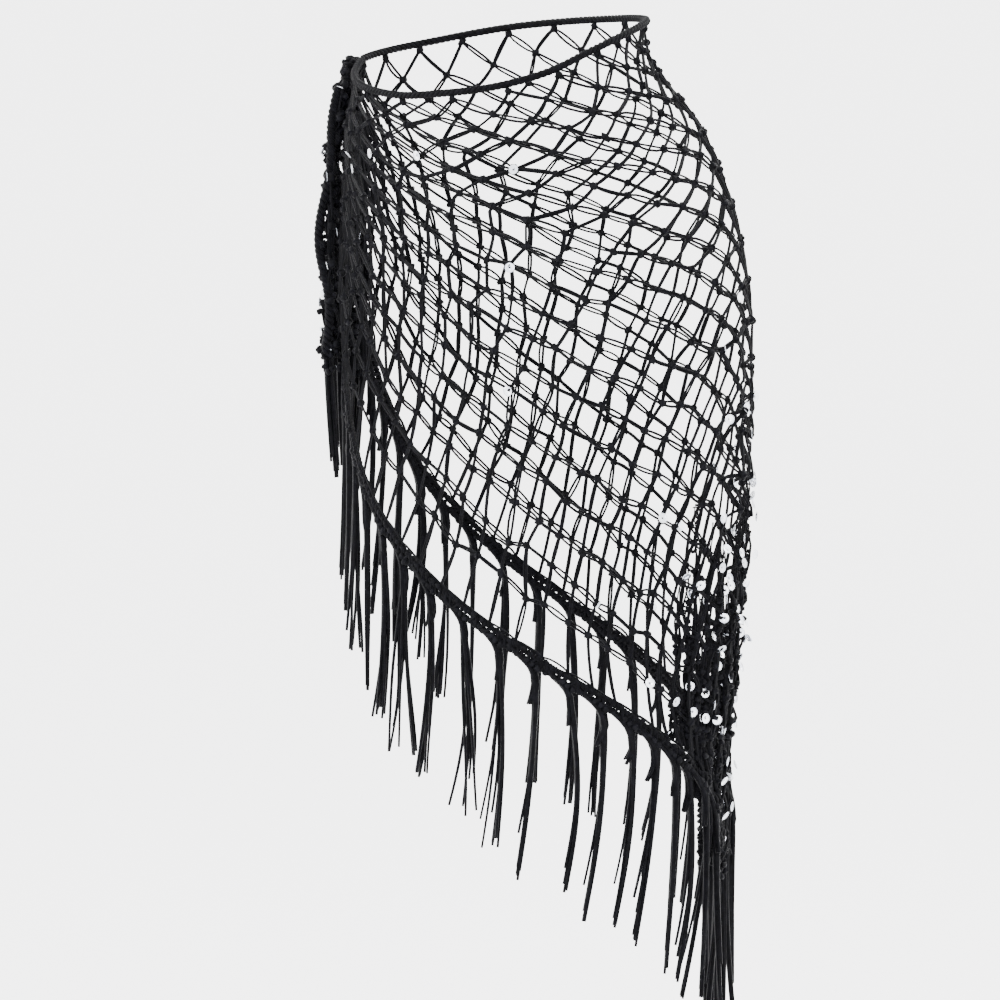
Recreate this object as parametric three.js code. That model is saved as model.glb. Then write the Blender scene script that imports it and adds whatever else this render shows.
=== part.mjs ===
// A crocheted triangular hip scarf, as worn: one black openwork net, a cord along its long edge,
// a thick border along its two short edges and a fringe of tassels under that border. Its two far
// corners are tied in a knot at the wearer's right hip, and its third corner hangs at the left.
//
// Units are millimetres and +Z is up. The wearer faces -Y, so +X is the wearer's left.
// The origin is the centre of the waist ring, where the scarf is held.
//
// An angle goes round the wearer: 0 at the front, 90 at the left side, 180 at the back.
// A row counts net cells up from the border (row 0) to the top of the left side (row 21).
// A reach runs along a row, from 0 below the left hip to 1 at the cord or the knot.

import * as THREE from 'three';

// Round the wearer
const knotAngle = -75;
const pointAngle = 112;
const frontSpan = pointAngle - knotAngle;
const backSpan = 360 - frontSpan;
const seamAngle = 0.2;

// The net
const topRow = 21;
const knotRow = 12;
const lastRow = 20.9;
const wallThickness = 2;
const netOut = 2;
const belowCord = 4.8;
const knotGather = { top: -7.5, perRow: 4.5 };

// How the net hangs: the drop below the left hip grows with each row, and rows climb to the knot
const drop = { perRow: 17, growing: 0.57 };
const climb = { even: 0.64, lessAtHem: 0.08, power: 3.3 };
const lag = { perRow: 0.005, atHem: -0.01 };
const hemBunch = { share: 0.095, rows: 1.5 };
const loose = { depth: 0.38, reach: 0.2 };

// Cord, border and fringe
const cordRadius = 3;
const cordOut = 3.2;
const borderRadius = 4.3;
const borderReach = { from: 0.008, to: 0.93 };
const seamGap = { usual: 0.8, atPoint: 2.8, usualFrom: 0.3, wideTo: 0.12 };
const fringeGap = { usual: 1, atPoint: 5, usualFrom: 0.4, wideTo: 0.2 };
const fringeThickness = 4;
const fringeReach = { from: 0.2, to: 0.86 };
const tasselLength = 160;

// The knot and the two tied corners that hang from it
const knotSize = { halfWidth: 13, halfDepth: 7.5, halfHeight: 14, out: 14.5, height: -15.5 };
const knotLobe = { turns: 4, share: 0.06 };
const tail = { top: -31, bottom: -235, out: 15.5, pleats: 2.5, topSpread: 4, spread: 9, spreadsOver: 60 };
const tailFringe = {
  bottom: -312,
  halfDepth: { top: 6, end: 3 },
  halfWidth: { top: 12, end: 5 },
};
const pointTassels = { top: -611, bottom: -765, halfWidth: 20, halfDepth: 7 };

// A general figure: half width, half depth and how far the hips lean to the wearer's left
const figure = [
  { height: -850, halfWidth: 138, halfDepth: 101, lean: 22 },
  { height: -700, halfWidth: 142, halfDepth: 104, lean: 25 },
  { height: -540, halfWidth: 148, halfDepth: 108, lean: 34 },
  { height: -420, halfWidth: 154, halfDepth: 112, lean: 41 },
  { height: -320, halfWidth: 160, halfDepth: 116, lean: 43 },
  { height: -200, halfWidth: 165, halfDepth: 120, lean: 42 },
  { height: -150, halfWidth: 162, halfDepth: 118, lean: 39 },
  { height: -100, halfWidth: 155, halfDepth: 113, lean: 32 },
  { height: -50, halfWidth: 142, halfDepth: 104, lean: 20 },
  { height: 0, halfWidth: 117, halfDepth: 88, lean: 2 },
  { height: 40, halfWidth: 113, halfDepth: 85, lean: 0 },
];

// The cord dips in front and rises over the left hip and the back
const waistLine = [
  { angle: -75, height: -3 },
  { angle: -48, height: -18 },
  { angle: -15, height: -27 },
  { angle: 5, height: -25 },
  { angle: 24, height: -20 },
  { angle: 46, height: -9 },
  { angle: 67, height: 6 },
  { angle: 88, height: 18 },
  { angle: 112, height: 26 },
  { angle: 150, height: 28 },
  { angle: 200, height: 22 },
  { angle: 245, height: 8 },
  { angle: 285, height: -3 },
];

// Soft upright folds where the net falls loose below the left hip: degrees from the hanging point
const foldFadeIn = 160;
const backFoldShift = 2.5;
const fallFolds = [
  { away: 4, out: 7, width: 4.2, start: -190 },
  { away: 13, out: 8, width: 3.4, start: -150 },
  { away: 22, out: 8, width: 4.0, start: -240 },
  { away: 32, out: 5, width: 3.6, start: -310 },
];

// Folds that run along the rows into the knot
const knotFolds = [
  { row: 1.5, out: 4.0, width: 1.1 },
  { row: 5.5, out: 3.0, width: 1.0 },
  { row: 9.5, out: 3.5, width: 1.2 },
];

// How wide and how deeply pleated a tied corner is, from the knot (0) to its end (1)
const tailShape = [
  { along: 0, width: 13, pleat: 2.5 },
  { along: 0.25, width: 26, pleat: 4.0 },
  { along: 0.6, width: 33, pleat: 4.5 },
  { along: 1, width: 24, pleat: 3.5 },
];

const yarn = new THREE.MeshStandardMaterial({ color: 0x101014, roughness: 0.85, metalness: 0 });
const cordYarn = new THREE.MeshStandardMaterial({ color: 0x08080a, roughness: 0.7, metalness: 0 });

const radians = THREE.MathUtils.degToRad;
const scarf = new THREE.Group();

// A smooth curve through one column of a table
function read(table, key, column, at) {
  const last = table.length - 1;
  const x = Math.min(Math.max(at, table[0][key]), table[last][key]);
  let k = 0;
  while (k < last - 1 && x > table[k + 1][key]) k += 1;
  const slope = (a, b) => (table[b][column] - table[a][column]) / (table[b][key] - table[a][key]);
  const step = table[k + 1][key] - table[k][key];
  const t = (x - table[k][key]) / step;
  const rise0 = slope(Math.max(k - 1, 0), k + 1) * step;
  const rise1 = slope(k, Math.min(k + 2, last)) * step;
  const y0 = table[k][column];
  const y1 = table[k + 1][column];
  const bend = 2 * (y0 - y1) + rise0 + rise1;
  return y0 + t * (rise0 + t * (y1 - y0 - rise0 - bend + t * bend));
}

function ramp(from, to, x) {
  return THREE.MathUtils.smoothstep((x - from) / (to - from), 0, 1);
}

// The point at this angle and height, this far out from the figure
function place(angle, height, out) {
  const halfWidth = read(figure, 'height', 'halfWidth', height) + out;
  const halfDepth = read(figure, 'height', 'halfDepth', height) + out;
  const lean = read(figure, 'height', 'lean', height);
  const turn = radians(angle);
  return new THREE.Vector3(lean + halfWidth * Math.sin(turn), -halfDepth * Math.cos(turn), height);
}

// Where a row ends: at the cord above the knot's row, gathered into the knot below it
function rowEnd(row) {
  if (row < knotRow) {
    return { share: 1, height: knotGather.top - (knotRow - row) * knotGather.perRow };
  }
  return { share: (topRow - row) / (topRow - knotRow), height: null };
}

// A reach runs almost evenly round the figure; the lowest rows bunch at their two ends
function evenedReach(reach, row) {
  const late = lag.perRow * row + lag.atHem;
  const bunch = hemBunch.share * Math.exp(-row / hemBunch.rows);
  return reach - late * Math.sin(Math.PI * reach) - bunch * Math.sin(2 * Math.PI * reach);
}

// Angle and height of the net at a reach along a row; side is 1 in front and -1 behind
function drape(side, reach, row) {
  const end = rowEnd(row);
  const span = side > 0 ? frontSpan : backSpan;
  const turned = (span - 2 * seamAngle) * end.share * evenedReach(reach, row);
  const angle = pointAngle - side * (seamAngle + turned);
  const endAngle = pointAngle - side * span * end.share;
  const endHeight = end.height === null ? waistHeight(endAngle) - belowCord : end.height;
  const below = topRow - row;
  const dropped = below * (drop.perRow + drop.growing * below);
  const lowHeight = waistHeight(pointAngle) - belowCord - dropped;
  const even = climb.even - climb.lessAtHem * Math.exp(-row);
  const climbed = even * reach + (1 - even) * Math.max(reach, 0) ** climb.power;
  const sag = loose.depth * below * row * Math.max(0, 1 - reach / loose.reach) ** 2;
  return { angle, height: lowHeight + (endHeight - lowHeight) * climbed - sag };
}

function waistHeight(angle) {
  return read(waistLine, 'angle', 'height', angle);
}

// The part of a row that the folds into the knot take up
const knotFoldReach = { starts: 0.62, full: 0.8, fades: 0.85, gone: 0.97 };

// How far the folds stand out
function foldOut(side, reach, row, angle, height) {
  const away = Math.abs(angle - pointAngle) + (side > 0 ? 0 : backFoldShift);
  let out = 0;
  for (const fold of fallFolds) {
    const crest = Math.exp(-(((away - fold.away) / fold.width) ** 2));
    out += fold.out * crest * ramp(fold.start, fold.start - foldFadeIn, height);
  }
  const comesIn = ramp(knotFoldReach.starts, knotFoldReach.full, reach);
  const diesAway = ramp(knotFoldReach.gone, knotFoldReach.fades, reach);
  for (const fold of knotFolds) {
    out += fold.out * comesIn * diesAway * Math.exp(-(((row - fold.row) / fold.width) ** 2));
  }
  return out;
}

function netPoint(side, reach, row) {
  const at = drape(side, reach, row);
  return place(at.angle, at.height, netOut + foldOut(side, reach, row, at.angle, at.height));
}

// The middle of the hips, this far to the wearer's left
const hipsLean = 40;

// Directions at the hem, in the net's own surface: along it, down off the net, and outwards
function hemFrame(side, reach) {
  const step = 0.004;
  const rowsUp = 0.3;
  const middle = netPoint(side, reach, 0);
  const before = netPoint(side, Math.max(reach - step, 0), 0);
  const along = netPoint(side, Math.min(reach + step, 1), 0).sub(before);
  const upNet = netPoint(side, reach, rowsUp).sub(middle);
  const outward = new THREE.Vector3().crossVectors(along, upNet).normalize();
  if (outward.dot(new THREE.Vector3(middle.x - hipsLean, middle.y, 0)) < 0) outward.negate();
  const off = new THREE.Vector3().crossVectors(along, outward).normalize();
  if (off.dot(upNet) > 0) off.negate();
  return { middle, off, outward };
}

// Turns a triangle list the right way out
function closedMesh(points, triangles) {
  let volume = 0;
  for (const [a, b, c] of triangles) {
    volume += points[a].dot(new THREE.Vector3().crossVectors(points[b], points[c]));
  }
  const facing = volume < 0 ? triangles.map(([a, b, c]) => [a, c, b]) : triangles;
  const geometry = new THREE.BufferGeometry().setFromPoints(points);
  geometry.setIndex(facing.flat());
  geometry.computeVertexNormals();
  return geometry;
}

// A wall of even thickness about a surface, where surface(u, v) gives a point
function wall(us, vs, thickness, surface) {
  const points = [];
  const step = 0.002;
  for (const face of [-0.5, 0.5]) {
    for (const u of us) {
      for (const v of vs) {
        const middle = surface(u, v);
        const du = surface(u + step, v).sub(surface(u - step, v));
        const dv = surface(u, v + step).sub(surface(u, v - step));
        const normal = new THREE.Vector3().crossVectors(du, dv).normalize();
        points.push(middle.addScaledVector(normal, face * thickness));
      }
    }
  }
  const rows = vs.length;
  const sheet = us.length * rows;
  const index = (face, i, j) => face * sheet + i * rows + j;
  const triangles = [];
  const quad = (a, b, c, d) => triangles.push([a, b, c], [a, c, d]);
  for (let i = 0; i < us.length - 1; i += 1) {
    for (let j = 0; j < rows - 1; j += 1) {
      quad(index(1, i, j), index(1, i + 1, j), index(1, i + 1, j + 1), index(1, i, j + 1));
      quad(index(0, i, j), index(0, i, j + 1), index(0, i + 1, j + 1), index(0, i + 1, j));
    }
    quad(index(0, i, 0), index(0, i + 1, 0), index(1, i + 1, 0), index(1, i, 0));
    quad(index(1, i, rows - 1), index(1, i + 1, rows - 1), index(0, i + 1, rows - 1), index(0, i, rows - 1));
  }
  const end = us.length - 1;
  for (let j = 0; j < rows - 1; j += 1) {
    quad(index(1, 0, j), index(1, 0, j + 1), index(0, 0, j + 1), index(0, 0, j));
    quad(index(0, end, j), index(0, end, j + 1), index(1, end, j + 1), index(1, end, j));
  }
  return closedMesh(points, triangles);
}

// A solid through rings of points, closed with a flat end at each side
function loft(rings) {
  const points = rings.flat();
  const sides = rings[0].length;
  const triangles = [];
  for (let i = 0; i < rings.length - 1; i += 1) {
    for (let k = 0; k < sides; k += 1) {
      const next = (k + 1) % sides;
      const a = i * sides;
      triangles.push([a + k, a + next, a + sides + next], [a + k, a + sides + next, a + sides + k]);
    }
  }
  const lastRing = (rings.length - 1) * sides;
  for (let k = 1; k < sides - 1; k += 1) {
    triangles.push([0, k + 1, k], [lastRing, lastRing + k, lastRing + k + 1]);
  }
  return closedMesh(points, triangles);
}

function ringAbout(centre, axisA, axisB, sides) {
  const ring = [];
  for (let k = 0; k < sides; k += 1) {
    const turn = (2 * Math.PI * (k + 0.5)) / sides;
    const point = centre.clone().addScaledVector(axisA, Math.cos(turn));
    ring.push(point.addScaledVector(axisB, Math.sin(turn)));
  }
  return ring;
}

function steps(from, to, count) {
  return Array.from({ length: count + 1 }, (_, k) => from + ((to - from) * k) / count);
}

function add(name, geometry, material) {
  const mesh = new THREE.Mesh(geometry, material);
  mesh.name = name;
  scarf.add(mesh);
}

// Closer steps where the net falls in folds, wider ones over the hips
const netReaches = [...steps(0, 0.26, 20), ...steps(0.3, 1, 15)];
const netRows = [0, 1, 2.2, 3.6, 5.2, 7, 9, 10.6, 12, 13.6, 15.2, 17, 18.8, 20, lastRow];

function net(side) {
  return wall(netReaches, netRows, wallThickness, (reach, row) => netPoint(side, reach, row));
}

const cordRings = 34;

function waistCord(side) {
  const from = pointAngle - side * 2 * seamAngle;
  const to = pointAngle - side * ((side > 0 ? frontSpan : backSpan) - 2 * seamAngle);
  const up = new THREE.Vector3(0, 0, cordRadius);
  const rings = steps(from, to, cordRings).map((angle) => {
    const centre = place(angle, waistHeight(angle), cordOut);
    const out = place(angle, waistHeight(angle), cordOut + cordRadius).sub(centre);
    return ringAbout(centre, out.setLength(cordRadius), up, 8);
  });
  return loft(rings);
}

// A gap that widens where the two halves of the scarf meet at the hanging point
function gapAt(gap, reach) {
  return gap.usual + (gap.atPoint - gap.usual) * ramp(gap.usualFrom, gap.wideTo, reach);
}

function borderCentre(side, reach) {
  const hem = hemFrame(side, reach);
  const gap = gapAt(seamGap, reach);
  return hem.middle.addScaledVector(hem.off, borderRadius + gap);
}

function border(side) {
  const reaches = netReaches.filter((reach) => reach > borderReach.from && reach < borderReach.to);
  const rings = reaches.map((reach) => {
    const hem = hemFrame(side, reach);
    const centre = borderCentre(side, reach);
    return ringAbout(centre, hem.off.setLength(borderRadius), hem.outward.setLength(borderRadius), 6);
  });
  return loft(rings);
}

// A plain curtain that reaches as far as the tassels do
function fringe(side) {
  const reaches = netReaches.filter((reach) => reach > fringeReach.from && reach < fringeReach.to);
  return wall(reaches, [0, 0.5, 1], fringeThickness, (reach, shareDown) => {
    const hem = hemFrame(side, reach);
    const gap = gapAt(fringeGap, reach);
    const top = borderCentre(side, reach).addScaledVector(hem.off, borderRadius + gap);
    return top.add(new THREE.Vector3(0, 0, -tasselLength * shareDown));
  });
}

function knot() {
  const centre = place(knotAngle, knotSize.height, knotSize.out);
  const out = place(knotAngle, knotSize.height, knotSize.out + 1).sub(centre).normalize();
  const across = new THREE.Vector3(-out.y, out.x, 0);
  const rings = steps(-75, 75, 8).map((latitude) => {
    const level = centre.clone();
    level.z += knotSize.halfHeight * Math.sin(radians(latitude));
    const lobes = 1 + knotLobe.share * Math.cos(radians(latitude * knotLobe.turns));
    const wrap = Math.cos(radians(latitude)) * lobes;
    const deep = out.clone().multiplyScalar(knotSize.halfDepth * wrap);
    return ringAbout(level, deep, across.clone().multiplyScalar(knotSize.halfWidth * wrap), 14);
  });
  return loft(rings);
}

// A tied corner: the net in narrow upright pleats, hanging over the hip
function tailAngle(side, height) {
  const opened = ramp(tail.top, tail.top - tail.spreadsOver, height);
  return knotAngle + side * (tail.topSpread + (tail.spread - tail.topSpread) * opened);
}

function tailPoint(side, across, along) {
  const height = tail.top + (tail.bottom - tail.top) * along;
  const width = read(tailShape, 'along', 'width', along);
  const pleat = read(tailShape, 'along', 'pleat', along);
  const angle = tailAngle(side, height);
  const middle = place(angle, height, tail.out);
  const out = place(angle, height, tail.out + 1).sub(middle).normalize();
  const sideways = new THREE.Vector3(-out.y, out.x, 0);
  const wave = pleat * Math.sin(2 * Math.PI * tail.pleats * across + side);
  return middle.addScaledVector(sideways, width * (across - 0.5)).addScaledVector(out, wave);
}

function tiedCorner(side) {
  const surface = (across, along) => tailPoint(side, across, along);
  return wall(steps(0, 1, 20), steps(0, 1, 6), wallThickness, surface);
}

// A closed bundle of tassels, where angleAt(height) and half(along) give its place and half sizes
function bundle(top, bottom, lie, angleAt, half) {
  const rings = steps(0, 1, 4).map((along) => {
    const height = top + (bottom - top) * along;
    const centre = place(angleAt(height), height, lie);
    const out = place(angleAt(height), height, lie + 1).sub(centre).normalize();
    const across = new THREE.Vector3(-out.y, out.x, 0).multiplyScalar(half(along).width);
    return ringAbout(centre, out.multiplyScalar(half(along).depth), across, 8);
  });
  return loft(rings);
}

function cornerFringe(side) {
  const { halfWidth, halfDepth } = tailFringe;
  const half = (along) => ({
    width: halfWidth.top + (halfWidth.end - halfWidth.top) * along,
    depth: halfDepth.top + (halfDepth.end - halfDepth.top) * along,
  });
  const top = tail.bottom - wallThickness / 2;
  return bundle(top, tailFringe.bottom, tail.out, (height) => tailAngle(side, height), half);
}

// The thick tassels that hang from the scarf's third corner
function pointFringe() {
  const half = { width: pointTassels.halfWidth, depth: pointTassels.halfDepth };
  return bundle(pointTassels.top, pointTassels.bottom, netOut, () => pointAngle, () => half);
}

for (const [name, side] of [['front', 1], ['back', -1]]) {
  add(`net_${name}`, net(side), yarn);
  add(`waist_cord_${name}`, waistCord(side), cordYarn);
  add(`border_${name}`, border(side), cordYarn);
  add(`fringe_${name}`, fringe(side), cordYarn);
  add(`tied_corner_${name}`, tiedCorner(side), yarn);
  add(`corner_fringe_${name}`, cornerFringe(side), cordYarn);
}
add('knot', knot(), yarn);
add('fringe_point', pointFringe(), cordYarn);

export default scarf;
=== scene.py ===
"""A black crocheted hip scarf as worn: openwork net, waist cord, border, tassels and sequins.

Sizes are in millimetres and angles in degrees until a mesh is made, which turns them into metres.
The net hangs on the same form as the CAD model, so the drape and its tables repeat that source's.
Only the two tied corners and the knot stand a few millimetres nearer the figure here.
An angle goes round the wearer: 0 in front (-Y), 90 at the left side (+X).
A row counts net cells up from the border, and cells along a row count from the hanging point.
A reach runs along a row, from 0 below the left hip to 1 at the cord or the knot.
A side is 1 for the front half and -1 for the back half.
"""

import math

import bmesh
import bpy
import numpy as np
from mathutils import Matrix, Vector


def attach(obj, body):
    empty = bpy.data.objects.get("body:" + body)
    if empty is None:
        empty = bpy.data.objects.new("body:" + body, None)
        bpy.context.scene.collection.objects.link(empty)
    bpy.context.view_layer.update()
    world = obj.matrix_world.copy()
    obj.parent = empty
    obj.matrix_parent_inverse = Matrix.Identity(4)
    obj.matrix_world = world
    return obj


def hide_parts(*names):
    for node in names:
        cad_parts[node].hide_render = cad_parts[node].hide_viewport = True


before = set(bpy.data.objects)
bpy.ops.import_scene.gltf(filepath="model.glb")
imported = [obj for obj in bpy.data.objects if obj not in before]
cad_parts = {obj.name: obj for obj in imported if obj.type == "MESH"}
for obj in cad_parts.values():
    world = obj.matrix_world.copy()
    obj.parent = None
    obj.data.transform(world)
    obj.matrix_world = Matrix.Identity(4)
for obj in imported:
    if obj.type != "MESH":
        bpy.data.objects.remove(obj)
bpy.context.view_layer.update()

MM = 0.001
UP = np.array([0.0, 0.0, 1.0])
STRAIGHT = np.zeros(3)
TINY = 1e-9

# Round the wearer
KNOT_ANGLE = -75.0
POINT_ANGLE = 112.0
FRONT_SPAN = POINT_ANGLE - KNOT_ANGLE
BACK_SPAN = 360.0 - FRONT_SPAN

# The net in cells: its rows, its short edges, and how much of each edge is tied into the knot
TOP_ROW = 21
KNOT_ROW = 12
KNOT_ROW_CELLS = 2 * (TOP_ROW - KNOT_ROW)
EDGE_CELLS = 2 * TOP_ROW
TIED_CELLS = 5
HEM_CELLS = EDGE_CELLS - TIED_CELLS

# How the net hangs: the drop below the left hip grows with each row, and rows climb to the knot
NET_OUT = 2.0
BELOW_CORD = 4.8
DROP = {"per_row": 17.0, "growing": 0.57}
CLIMB = {"even": 0.64, "less_at_hem": 0.08, "power": 3.3}
LAG = {"per_row": 0.005, "at_hem": -0.01}
HEM_BUNCH = {"share": 0.095, "rows": 1.5}
LOOSE = {"depth": 0.38, "reach": 0.2}
KNOT_GATHER = {"top": -7.5, "per_row": 4.5}
THROAT = {"inward": 5.0, "down": 0.75, "from_reach": 0.9, "pull": 0.85}

# A general figure: height, half width, half depth, lean to the wearer's left
FIGURE = np.array([
    (-850, 138, 101, 22),
    (-700, 142, 104, 25),
    (-540, 148, 108, 34),
    (-420, 154, 112, 41),
    (-320, 160, 116, 43),
    (-200, 165, 120, 42),
    (-150, 162, 118, 39),
    (-100, 155, 113, 32),
    (-50, 142, 104, 20),
    (0, 117, 88, 2),
    (40, 113, 85, 0),
], float)
HALF_WIDTH, HALF_DEPTH, LEAN = 1, 2, 3

# The waist cord: angle, height
WAIST_LINE = np.array([
    (-75, -3), (-48, -18), (-15, -27), (5, -25), (24, -20), (46, -9), (67, 6), (88, 18),
    (112, 26), (150, 28), (200, 22), (245, 8), (285, -3),
], float)

# Soft upright folds: degrees from the hanging point, how far out, width, start height
FALL_FOLDS = [(4, 7, 4.2, -190), (13, 8, 3.4, -150), (22, 8, 4.0, -240), (32, 5, 3.6, -310)]
FOLD_FADE_IN = 160
BACK_FOLD_SHIFT = 2.5

# Folds along the rows into the knot: row, how far out, width in rows
KNOT_FOLDS = [(1.5, 4.0, 1.1), (5.5, 3.0, 1.0), (9.5, 3.5, 1.2)]
KNOT_FOLD_REACH = {"starts": 0.62, "full": 0.8, "fades": 0.85, "gone": 0.97}

# Two threads join each pair of mesh knots: half their gap, their radius, the share that closed up
ROW_THREADS = {"spread": 1.35, "radius": 0.92, "single": 0.3}
COLUMN_THREADS = {"spread": 0.8, "radius": 0.95, "single": 0.8}
CORNER_THREADS = {"spread": 1.5, "radius": 0.72, "single": 0.2}
THREAD = {"points": 5, "swell": 0.6, "open": (0.75, 1.15), "closed": 0.35, "at_knot": 0.3}
THREAD_STRAY = {"lean": 0.45, "bend": 0.3, "rise": 0.4}
THREAD_UNEVEN = (0.85, 1.15)
ROW_END_SPREAD = 0.7

# A mesh knot: a lump's half lengths, and the turn of yarn round it
MESH_KNOT = {"half_sizes": ((3.0, 4.1), (2.2, 2.9), (1.9, 2.5)), "lean": (-0.5, 0.45)}
MESH_KNOT_TURN = {"radius": (2.3, 2.8), "yarn": 0.7}
MESH_KNOTS_STOP = 0.93

# Uneven hand work: how far mesh knots stray, in cells, usually and at most
ROW_STRAY = (0.07, 0.16)
CELL_STRAY = (0.08, 0.18)

# Below the left hip the mesh hangs slack, in waves: where, how deep, and how far its knots stray
SLACK = {"degrees": (32, 14), "rows": (13, 8), "row_stray": 0.25, "cell_stray": 0.3}
SLACK_WAVE = {"out": 4.0, "per_cell": 2.6, "inward": 5.0, "uneven": 1.6}

# Where the mesh hangs closed, in knotted upright ropes: side, degrees from the hanging point
FALLS = [
    (1, 2), (1, 4.5), (1, 7), (1, 10), (1, 12.5), (1, 15.5), (1, 18.5), (1, 21.5),
    (1, 24), (1, 26.5), (1, 29), (1, 32), (1, 34.5), (1, 37),
    (-1, 3), (-1, 8), (-1, 14), (-1, 20),
]
FALL_TOP = {"height": -325.0, "lower_per_degree": 1.2, "uneven": 16.0}
FALL_THINS = {"to": 0.3, "over": 80.0}
FALL_END = {"height": -604.0, "uneven": 30, "closer": 0.62, "closes_above_hem": 20}
FALL_AT_HEM = {"beyond_degrees": 30.0, "above": 3, "reach": 0.4, "points": 200}
FALL_DEPTH = {"inward": 5.5, "wave": 2.5, "per_degree": 2.6}
FALL_YARN = {"count": 3, "radius": (1.0, 1.4), "points": 130}
FALL_SWAY = {"size": 0.5, "lengths": (26.0, 43.0)}
YARN_SWAY = {"size": 0.6, "lengths": (7.0, 12.5)}
YARN_DEPTH = {"size": 1.0, "lengths": (6.0, 10.0)}
FALL_LUMPS = {"apart": 4.6, "beside": 0.7, "out": 1.6, "half_sizes": (1.7, 3.3), "to_a_sequin": 24}

# Cords of plies: a ply's radius, how far it lies from the middle, and the length of a twist
PLIES = 3
WAIST_CORD = {"ply": 1.75, "lay": 1.35, "pitch": 13.0}
CORD_END = {"ply": 1.4, "lay": 1.2, "pitch": 10.0}
BORDER_END = {"ply": 1.9, "lay": 1.9, "pitch": 13.0}
CORD_OUT = 3.2
CORD_POINTS = 300

# The border: two edges of two plies (how far off the net, phase), with stitches between them.
# Waves make an edge uneven: size, length, how many times the edge's phase
BORDER_REACH = 0.93
BORDER_POINTS = 900
BORDER_EDGES = ((2.6, 0.0), (7.2, 1.7))
EDGE_YARN = {"radius": 1.6, "lay": 0.9, "pitch": 7.5, "points": 620}
EDGE_WAVES = ((0.5, 17.0, 1), (0.3, 6.1, 2))
STITCH = {"apart": 5.3, "length": 5.0, "uneven": 0.5, "middle": 5.0, "half": 3.6, "points": 8}
STITCH_BACK = {"shift": 1.2, "width": 10.0, "behind": -1.2}
STITCH_OUT = 1.7
STITCH_YARN = (1.0, 1.45)
STITCHES_UPRIGHT = 0.8
STITCH_MARGINS = (1.0, 9.0)
BORDER_LUMPS = {"apart": 6.4, "margin": 3.0, "off": (1.6, 8.2), "stray": 0.4, "out": (0.6, 0.5)}
BORDER_LUMP = {"long": (1.9, 2.8), "wide": 1.9, "deep": 1.7}

# The fringe: tassels hang off the border past its gathered corner, and stop before the knot
TASSEL_LENGTH = 158.0
TASSEL_SPACING = 1.385
FIRST_TASSEL = 0.085
LAST_TASSEL = {1: 0.8, -1: 0.86}
HEM_REACH = 0.985
HEM_LOOK_UP = 0.3
HEM_POINTS = 1200
TASSEL = {"yarns": (7, 9), "girth": 1.9, "length": (0.88, 1.0)}
TASSEL_YARN = {"radius": 1.65, "thinner_below": 0.38, "uneven": (0.8, 1.1)}
ARCH = {"lead": 27.0, "from": 5.5, "off": 9.0, "out": 0.8, "turns": 0.35, "drop": 13.0, "over": 15.0}
TASSEL_HEAD = {"along": (-1.0, 4.0, 9.0), "off": (8.5, 8.0, 7.5), "half_sizes": (2.2, 3.4)}
COLLAR = {"length": 14.0, "count": 6, "girth": 3.3, "splay": 0.2, "points": 5}
COLLAR_SWING = 0.4

# Tassels halfway along the hem spread open; the others hang closed and lean along the hem
SPREAD_REACH = {"starts": 0.42, "full": 0.55, "fades": 0.7, "gone": 0.86}
SPREAD = {"least": 0.3, "most": 13.0, "share": 0.75}
TASSEL_LEAN = {"usual": 13.0, "less_if_spread": 9.0, "uneven": 4.0}
TASSEL_BOW = (-1.5, 2.0)

# The tassels at the third corner, under a round cluster: shift sideways, girth, yarns
POINT_TASSELS = ((-17, 1.8, 7), (-6, 2.4, 9), (5, 2.2, 8), (17, 1.7, 6))
POINT = {"height": -592.0, "face_height": -600.0, "drop": 14.0}
POINT_YARNS = {"length": 150, "splay": 0.5, "thicker": 1.1}
POINT_START = {"nearer": 0.5, "early": 0.3, "over": 5.0}
POINT_STRAY = {"top": 2.0, "end": 3.0, "swing": 2.5, "bow": 1.5}
CLUSTER = {"count": 70, "down": 5.0, "across": 13, "out": 8, "up": 15, "half_sizes": (1.8, 3.2)}
CLUSTER_FROM = 0.5

# The knot, and its turns of yarn: their tilt, the levels they lie at, and how tightly they lie
KNOT = {"half_width": 13.0, "half_depth": 7.5, "half_height": 14.0, "out": 14.5, "height": -15.5}
KNOT_ON_CORD = 5.0
KNOT_TURNS = {"count": 44, "tilt": (0.3, 0.12), "levels": (-0.8, 0.75), "tight": (0.85, 1.0)}
KNOT_SHAPE = {"narrower_above": 0.4, "tilt_limit": 0.95, "core": 0.78, "yarn": 1.0, "points": 33}
KNOT_LUMPS = {"count": 60, "half_sizes": (1.6, 2.6)}

# A corner that hangs from the knot, and along it from the knot (0) to its end (1): width, pleat depth
TAIL = {"top": -22.0, "bottom": -238.0, "out": 12.0, "pleats": 2.5, "top_spread": 4.0, "spread": 9.0}
TAIL_SPREADS = (-30.0, -90.0)
TAIL_SHAPE = np.array([(0, 13, 2.5), (0.25, 26, 4), (0.6, 33, 4.5), (1, 24, 3.5)], float)
CORNER_STRAY = {"row": 0.3, "cell": 0.5, "columns_step": 0.5, "past_edge": 0.04}
CORNER_DEPTH = {"middle": -1.0, "uneven": 4.0, "deepest": -8, "highest": 5}
CORNER_FLAT_TOP = (-0.1, 0.25)
CORNER_SAG = 2.5
CORNER_LUMPS = (2.4, 3.8)
# Keeps the difference of two points from being nothing
NUDGE = 1e-6

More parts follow.
